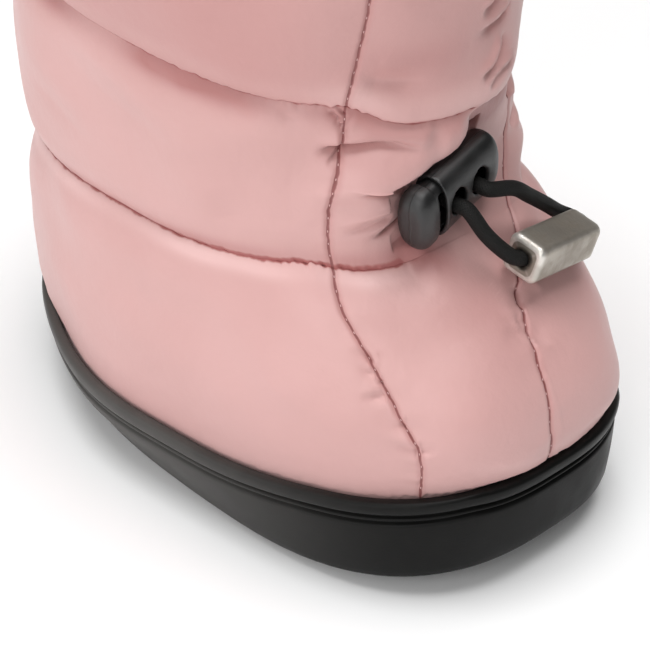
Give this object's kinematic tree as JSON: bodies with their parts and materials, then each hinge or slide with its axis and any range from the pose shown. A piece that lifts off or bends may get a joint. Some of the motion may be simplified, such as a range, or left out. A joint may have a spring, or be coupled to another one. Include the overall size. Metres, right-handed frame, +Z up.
{
  "type": "puffer bootie",
  "caption": "Quilted padded toddler bootie with a moulded black sole, hollow shaft open at the collar, and a cord lock with cord and metal bead at the instep.",
  "frame": {"origin": "on the floor under the middle of the bootie's overall length and width, cord and bead left out", "axes": "+X toward the toe, +Y to the wearer's left, +Z up"},
  "size_m": [0.1438, 0.0878, 0.1761],
  "materials": {
    "outsole": "satin moulded rubber",
    "rand": "satin moulded rubber with a brighter lip",
    "upper": "quilted pink nylon with a soft sheen",
    "insole": "brushed fabric on thin foam",
    "toggle_barrel": "satin moulded plastic",
    "toggle_button": "satin moulded plastic",
    "drawcord": "round elastic cord with a woven cover",
    "cord_bead": "antique silver plated cast metal, worn edges"
  },
  "bodies": {
    "boot": {"outsole": "outsole", "rand": "rand", "upper": "upper", "insole": "insole", "toggle_barrel": "toggle_barrel", "drawcord": "drawcord", "cord_bead": "cord_bead"},
    "button": {"toggle_button": "toggle_button"}
  },
  "joints": [
    {"name": "button_press", "type": "slide", "parent": "boot", "child": "button", "axis": [-0.167, 0.9698, 0.178], "range_m": [0, 0.0022], "stiffness_N_per_m": 300}
  ]
}
